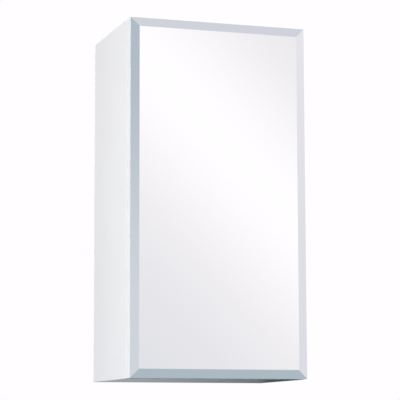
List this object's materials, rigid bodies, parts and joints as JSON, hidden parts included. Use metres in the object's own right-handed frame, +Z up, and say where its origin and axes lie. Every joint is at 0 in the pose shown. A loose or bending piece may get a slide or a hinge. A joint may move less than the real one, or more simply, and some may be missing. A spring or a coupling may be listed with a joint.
{
  "type": "mirror cabinet",
  "caption": "Tall wall-hung bathroom cabinet with a full-front bevelled mirror door on concealed hinges, shelves inside and rails for wall screws.",
  "frame": {"origin": "midpoint between the two upper wall screw holes, on the plane of the wall", "axes": "+Z up, +X to the right as seen from the front, -Y out of the mirror, the wall at Y = 0"},
  "size_m": [0.31, 0.23, 0.6],
  "materials": {
    "white_board": "satin white foil on chipboard",
    "white_board_thin": "white foil on hardboard",
    "zinc": "bright zinc plate",
    "nickel": "nickel plate",
    "dark_steel": "plain steel",
    "white_plastic": "moulded white plastic",
    "beech": "fluted beech",
    "silvered_glass": "polished glass, silvered on its back",
    "foam_tape": "closed-cell foam tape",
    "clear_rubber": "translucent soft plastic",
    "ferrite": "dark ferrite"
  },
  "bodies": {
    "cabinet": {"left_side_panel": "white_board", "right_side_panel": "white_board", "top_panel": "white_board", "bottom_panel": "white_board", "back_panel": "white_board_thin", "upper_rail": "white_board", "lower_rail": "white_board", "upper_shelf": "white_board", "lower_shelf": "white_board", "shelf_pegs": "zinc", "cam_locks": "zinc", "cam_bolts": "zinc", "cam_caps": "white_plastic", "dowels": "beech", "upper_hinge_arm": "nickel", "lower_hinge_arm": "nickel", "upper_mounting_plate": "zinc", "lower_mounting_plate": "zinc", "plate_screws": "zinc", "arm_screws": "dark_steel", "adjusting_screws": "dark_steel", "catch_body": "white_plastic", "catch_magnet": "ferrite", "catch_pole_plates": "zinc", "catch_screws": "zinc"},
    "door": {"door_panel": "white_board", "mirror_glass": "silvered_glass", "mirror_tape": "foam_tape", "door_bumpers": "clear_rubber", "upper_hinge_cup": "nickel", "lower_hinge_cup": "nickel", "upper_hinge_pin": "dark_steel", "lower_hinge_pin": "dark_steel", "cup_screws": "zinc", "strike_plate": "zinc", "strike_screw": "zinc"}
  },
  "joints": [
    {"name": "door_hinge", "type": "hinge", "parent": "cabinet", "child": "door", "pos_m": [0.1471, -0.218, -0.254], "axis": [0, 0, 1], "range_deg": [0, 95]}
  ]
}
